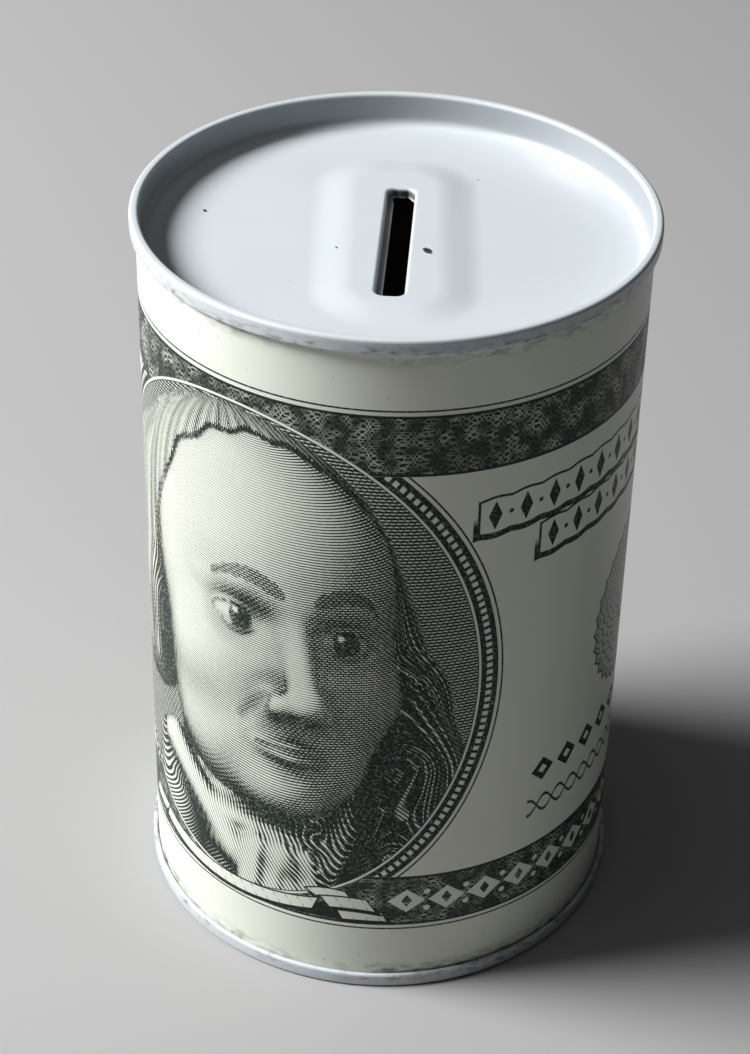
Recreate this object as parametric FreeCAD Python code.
"""A round tin money box: a seamed tinplate can with a coin slot and a stopper.

The tin is rolled and seamed as a three-piece can.  Units are millimetres.
The origin is the centre of the circle that the tin stands on, +Z is up, and
-Y is the front.  Every sheet part is drawn as its bent centre line, which is
given the sheet's thickness and turned about the can's axis.
"""
import FreeCAD, Part
import math
import os

# Driving dimensions of the can.
BODY_DIAMETER = 85.0        # outside of the printed wall
HEIGHT = 134.6              # over both seams
SHEET = 0.25                # tinplate thickness
LAYER_GAP = 0.10            # space between two layers of a seam
SEAM_HEIGHT = 2.8           # outside height of a double seam
SEAM_CROWN_GAP = 0.30       # room for the compound under a seam's crown
CROWN_BEND = 0.5            # bend of the seaming panel, on the centre line

# The recessed panels of the two ends.
RECESS_DEPTH = 5.7          # from a seam's crown to the outer face of a panel
PANEL_CORNER_RADIUS = 41.6  # where the panel would meet the chuck wall
PANEL_BEND = 2.0            # bend between the panel and the chuck wall

# The pressed pad and the coin slot of the top end.
PAD_WIDTH = 27.0            # foot of the pad's slope
PAD_LENGTH = 57.0
PAD_CORNER = 11.0
PAD_HEIGHT = 1.1
PAD_SLOPE = 4.5             # how far the slope runs inwards
PAD_CENTRE_Y = -0.8
SLOT_LENGTH = 36.4
SLOT_WIDTH = 4.7
SLOT_CORNER = 1.5
SLOT_CENTRE_Y = -2.9
SLOT_TURN = -2.8            # degrees about +Z, as the slot was punched
SLOT_LIP_DEPTH = 1.9        # the edges are turned down this far
SLOT_LIP_BEVEL = 0.7        # the rolled entry at the top of the lips

# The side seam, welded inside at the back of the body.
WELD_WIDTH = 1.2
WELD_THICKNESS = 0.12

# The hole of the bottom end and the stopper that closes it.
HOLE_RADIUS = 19.0
COLLAR_HEIGHT = 1.75        # the hole's edge is turned inwards
COLLAR_BEND = 0.5
BEAD_RADIUS = 32.0          # where the bottom panel steps up
BEAD_STEP = 0.7
STOPPER_CLEARANCE = 0.06    # radial, at the stopper's bead
STOPPER_SEAT_GAP = 0.05     # between its flange and the panel
FLANGE_RADIUS = 22.5
FLANGE_THICKNESS = 1.3
FLANGE_ROUND = 0.4
SKIRT_RADIUS = 18.6
SKIRT_WALL = 1.1
SKIRT_HEIGHT = 6.5
BEAD_HEIGHT = 1.4
BEAD_LIFT = 0.25            # from the collar's rim to the foot of the bead
DISH_RADIUS = 14.0
DISH_DEPTH = 3.0
GRIP_WIDTH = 4.0

BODY_RADIUS = BODY_DIAMETER / 2
LAYER_PITCH = SHEET + LAYER_GAP
WALL_LINE = BODY_RADIUS - SHEET / 2
CHUCK_WALL_LINE = WALL_LINE - LAYER_PITCH
COVER_HOOK_LINE = WALL_LINE + LAYER_PITCH
BODY_HOOK_LINE = WALL_LINE + 2 * LAYER_PITCH
SEAMING_WALL_LINE = WALL_LINE + 3 * LAYER_PITCH
HOOK_BEND = LAYER_PITCH     # a half circle between two neighbouring hooks
HOOK_END_GAP = 0.15         # from a hook's cut edge to the bend it points into

CROWN_LINE = SHEET / 2      # depth of each line below the seam's crown
BODY_HOOK_CROWN = SHEET + SEAM_CROWN_GAP + SHEET / 2
SEAM_FOOT_LINE = SEAM_HEIGHT - SHEET / 2
COVER_HOOK_END = BODY_HOOK_CROWN + HOOK_BEND + HOOK_END_GAP
BODY_HOOK_END = SEAM_FOOT_LINE - HOOK_BEND - HOOK_END_GAP

PANEL_TOP = HEIGHT - RECESS_DEPTH
PAD_TOP = PANEL_TOP + PAD_HEIGHT
BASE_PANEL_LINE = RECESS_DEPTH + SHEET / 2

AXIS_START = FreeCAD.Vector(0, 0, 0)
UP = FreeCAD.Vector(0, 0, 1)


def point(radius, height):
    """A point of a turned profile."""
    return FreeCAD.Vector(radius, 0, height)


def left_of(direction):
    """The direction turned a quarter turn to the left, in the profile."""
    return FreeCAD.Vector(-direction.z, 0, direction.x)


def offset_path(corners, distance):
    """The path of (radius, height, bend) corners moved to its left."""
    moved = []
    for index, (radius, height, bend) in enumerate(corners):
        here = point(radius, height)
        before = point(*corners[max(index - 1, 0)][:2])
        after = point(*corners[min(index + 1, len(corners) - 1)][:2])
        into = (here - before) if index > 0 else (after - here)
        out = (after - here) if index < len(corners) - 1 else (here - before)
        into.normalize()
        out.normalize()
        shift = (left_of(into) + left_of(out)) * (distance / (1 + into.dot(out)))
        turn = into.x * out.z - into.z * out.x
        new_bend = bend - distance * math.copysign(1, turn) if bend else 0
        moved.append((radius + shift.x, height + shift.z, new_bend))
    return moved


def path_edges(corners):
    """Lines and tangent arcs along a path of (radius, height, bend) corners."""
    edges = []
    start = point(*corners[0][:2])
    for index in range(1, len(corners)):
        here = point(*corners[index][:2])
        bend = corners[index][2]
        end = here
        if bend and index < len(corners) - 1:
            back = point(*corners[index - 1][:2]) - here
            onward = point(*corners[index + 1][:2]) - here
            back.normalize()
            onward.normalize()
            half = back.getAngle(onward) / 2
            end = here + back * (bend / math.tan(half))
            leave = here + onward * (bend / math.tan(half))
            inward = back + onward
            inward.normalize()
            middle = here + inward * (bend / math.sin(half) - bend)
        if (end - start).Length > 1e-4:
            edges.append(Part.LineSegment(start, end).toShape())
        start = end
        if bend and index < len(corners) - 1:
            edges.append(Part.Arc(end, middle, leave).toShape())
            start = leave
    return edges, start


def turned_sheet(corners):
    """A bent sheet of SHEET thickness, turned once about the can's axis."""
    left = offset_path(corners, SHEET / 2)
    right = offset_path(corners, -SHEET / 2)
    edges, left_end = path_edges(left)
    back_edges, right_end = path_edges(right)
    edges.append(Part.LineSegment(left_end, right_end).toShape())
    edges.extend(back_edges)
    edges.append(Part.LineSegment(point(*left[0][:2]), point(*right[0][:2])).toShape())
    outline = Part.Wire(Part.__sortEdges__(edges))
    return Part.Face(outline).revolve(AXIS_START, UP, 360)


def turned_outline(corners):
    """A solid of revolution from a closed outline of (radius, height) corners."""
    points = [point(radius, height) for radius, height in corners]
    outline = Part.makePolygon(points + points[:1])
    return Part.Face(outline).revolve(AXIS_START, UP, 360)


def rounded_rectangle(width, length, corner, height, centre_y, turn):
    """A rounded rectangle at a height, with its long side near the Y axis."""
    face = Part.makePlane(width, length, FreeCAD.Vector(-width / 2, -length / 2, 0))
    block = face.extrude(UP)
    upright = [edge for edge in block.Edges if abs(edge.tangentAt(edge.FirstParameter).z) > 0.5]
    rounded = block.makeFillet(corner, upright)
    foot = min(rounded.Faces, key=lambda side: side.CenterOfMass.z)
    wire = foot.OuterWire.copy()
    wire.rotate(AXIS_START, UP, turn)
    wire.translate(FreeCAD.Vector(0, centre_y, height))
    return wire


def tapered_block(low_wire, high_wire):
    """A solid between two outlines of the same kind at different heights."""
    return Part.makeLoft([low_wire, high_wire], True, True)


def slot_outline(growth, height):
    """The coin slot's outline, grown by a distance on every side."""
    return rounded_rectangle(SLOT_WIDTH + 2 * growth, SLOT_LENGTH + 2 * growth,
                             SLOT_CORNER + growth, height, SLOT_CENTRE_Y, SLOT_TURN)


def seam_corners():
    """The end's line through a top seam, from the chuck wall to the cover hook."""
    return [
        (CHUCK_WALL_LINE, HEIGHT - CROWN_LINE, CROWN_BEND),
        (SEAMING_WALL_LINE, HEIGHT - CROWN_LINE, CROWN_BEND),
        (SEAMING_WALL_LINE, HEIGHT - SEAM_FOOT_LINE, HOOK_BEND),
        (COVER_HOOK_LINE, HEIGHT - SEAM_FOOT_LINE, HOOK_BEND),
        (COVER_HOOK_LINE, HEIGHT - COVER_HOOK_END, 0),
    ]


def mirrored(corners):
    """The same line at the can's other end, which is seamed alike."""
    return [(radius, HEIGHT - height, bend) for radius, height, bend in corners]


def make_body_shell():
    """The rolled wall, with a hook at each end and the weld at the back."""
    top_hook = [
        (WALL_LINE, HEIGHT - BODY_HOOK_CROWN, HOOK_BEND),
        (BODY_HOOK_LINE, HEIGHT - BODY_HOOK_CROWN, HOOK_BEND),
        (BODY_HOOK_LINE, HEIGHT - BODY_HOOK_END, 0),
    ]
    wall = turned_sheet(mirrored(top_hook)[::-1] + top_hook)
    weld_foot = SEAM_HEIGHT + RECESS_DEPTH
    inner_radius = BODY_RADIUS - SHEET
    ring = Part.makeCylinder(inner_radius + SHEET / 2, HEIGHT - 2 * weld_foot,
                             FreeCAD.Vector(0, 0, weld_foot))
    bore = Part.makeCylinder(inner_radius - WELD_THICKNESS, HEIGHT - 2 * weld_foot,
                             FreeCAD.Vector(0, 0, weld_foot))
    strip = Part.makeBox(WELD_WIDTH, BODY_RADIUS, HEIGHT,
                         FreeCAD.Vector(-WELD_WIDTH / 2, 0, 0))
    return wall.fuse(ring.cut(bore).common(strip)).removeSplitter()


def make_top_end():
    """The countersunk lid with its raised pad and turned-down coin slot."""
    panel_line = PANEL_TOP - SHEET / 2
    lid = turned_sheet([(0, panel_line, 0), (PANEL_CORNER_RADIUS, panel_line, PANEL_BEND)]
                       + seam_corners())
    foot = rounded_rectangle(PAD_WIDTH, PAD_LENGTH, PAD_CORNER, PANEL_TOP, PAD_CENTRE_Y, 0)
    crown = rounded_rectangle(PAD_WIDTH - 2 * PAD_SLOPE, PAD_LENGTH - 2 * PAD_SLOPE,
                              PAD_CORNER - PAD_SLOPE, PAD_TOP, PAD_CENTRE_Y, 0)
    pad = tapered_block(foot, crown)
    hollow = pad.copy()
    hollow.translate(FreeCAD.Vector(0, 0, -SHEET))
    lip_foot = PAD_TOP - SLOT_LIP_DEPTH
    lip = tapered_block(slot_outline(SHEET, lip_foot), slot_outline(SHEET, PAD_TOP))
    opening = tapered_block(slot_outline(0, lip_foot), slot_outline(0, PAD_TOP))
    entry_foot = PAD_TOP - SLOT_LIP_BEVEL
    flare = tapered_block(slot_outline(SHEET, entry_foot), slot_outline(SLOT_LIP_BEVEL, PAD_TOP))
    entry = tapered_block(slot_outline(0, entry_foot),
                          slot_outline(SLOT_LIP_BEVEL - SHEET, PAD_TOP))
    sheet = lid.fuse(pad).cut(hollow)
    return sheet.fuse([lip, flare]).cut(opening).cut(entry).removeSplitter()


def make_bottom_end():
    """The countersunk base with a stiffening step and a hole with a collar."""
    step_line = BASE_PANEL_LINE + BEAD_STEP
    collar_line = HOLE_RADIUS + SHEET / 2
    return turned_sheet([
        (collar_line, step_line + COLLAR_HEIGHT, 0),
        (collar_line, step_line, COLLAR_BEND),
        (BEAD_RADIUS, step_line, 2 * COLLAR_BEND),
        (BEAD_RADIUS + 2 * BEAD_STEP, BASE_PANEL_LINE, 2 * COLLAR_BEND),
        (PANEL_CORNER_RADIUS, BASE_PANEL_LINE, PANEL_BEND),
    ] + mirrored(seam_corners()))


def make_top_seam_compound():
    """The sealing compound that lines the crown of the top seam."""
    clearance = SHEET / 5
    low = HEIGHT - SHEET - SEAM_CROWN_GAP + clearance
    high = HEIGHT - SHEET - clearance
    inner = COVER_HOOK_LINE - SHEET / 2
    outer = BODY_HOOK_LINE - SHEET / 2
    return turned_outline([(inner, low), (outer, low), (outer, high), (inner, high)])


def make_bottom_seam_compound():
    """The same lining in the bottom seam."""
    middle = FreeCAD.Vector(0, 0, HEIGHT / 2)
    return make_top_seam_compound().mirror(middle, UP)


def make_base_stopper():
    """The moulded stopper: a flange, a skirt with a bead, a dish and a grip bar."""
    seat = RECESS_DEPTH + BEAD_STEP - STOPPER_SEAT_GAP
    foot = seat - FLANGE_THICKNESS
    dish = foot + DISH_DEPTH
    floor = dish + FLANGE_THICKNESS
    rim = seat + SKIRT_HEIGHT
    bead_foot = RECESS_DEPTH + BEAD_STEP + COLLAR_HEIGHT + SHEET + BEAD_LIFT
    bead = HOLE_RADIUS - STOPPER_CLEARANCE
    bead_slope = bead - SKIRT_RADIUS
    cup = turned_outline([
        (0, dish),
        (DISH_RADIUS, dish),
        (DISH_RADIUS, foot),
        (FLANGE_RADIUS - FLANGE_ROUND, foot),
        (FLANGE_RADIUS, foot + FLANGE_ROUND),
        (FLANGE_RADIUS, seat - FLANGE_ROUND),
        (FLANGE_RADIUS - FLANGE_ROUND, seat),
        (SKIRT_RADIUS, seat),
        (SKIRT_RADIUS, bead_foot),
        (bead, bead_foot + bead_slope),
        (bead, bead_foot + BEAD_HEIGHT - bead_slope),
        (SKIRT_RADIUS, bead_foot + BEAD_HEIGHT),
        (SKIRT_RADIUS - SKIRT_WALL / 2, rim),
        (SKIRT_RADIUS - SKIRT_WALL, rim),
        (SKIRT_RADIUS - SKIRT_WALL, floor),
        (0, floor),
    ])
    bar = Part.makeBox(2 * DISH_RADIUS + SHEET, GRIP_WIDTH, DISH_DEPTH,
                       FreeCAD.Vector(-DISH_RADIUS - SHEET / 2, -GRIP_WIDTH / 2, foot))
    return cup.fuse(bar).removeSplitter()


NODES = {
    "body_shell": make_body_shell,
    "top_end": make_top_end,
    "bottom_end": make_bottom_end,
    "top_seam_compound": make_top_seam_compound,
    "bottom_seam_compound": make_bottom_seam_compound,
    "base_stopper": make_base_stopper,
}

os.makedirs("parts", exist_ok=True)
for node, make in NODES.items():
    shape = make()
    if shape.ShapeType == "Compound" and len(shape.Solids) == 1:
        shape = shape.Solids[0]
    shape.exportStep("parts/" + node + ".step")
    box = shape.BoundBox
    print(node, shape.ShapeType, "valid", shape.isValid(), "solids", len(shape.Solids),
          "volume %.1f mm3" % shape.Volume,
          "z %.3f to %.3f" % (box.ZMin, box.ZMax), "width %.2f" % box.XLength)
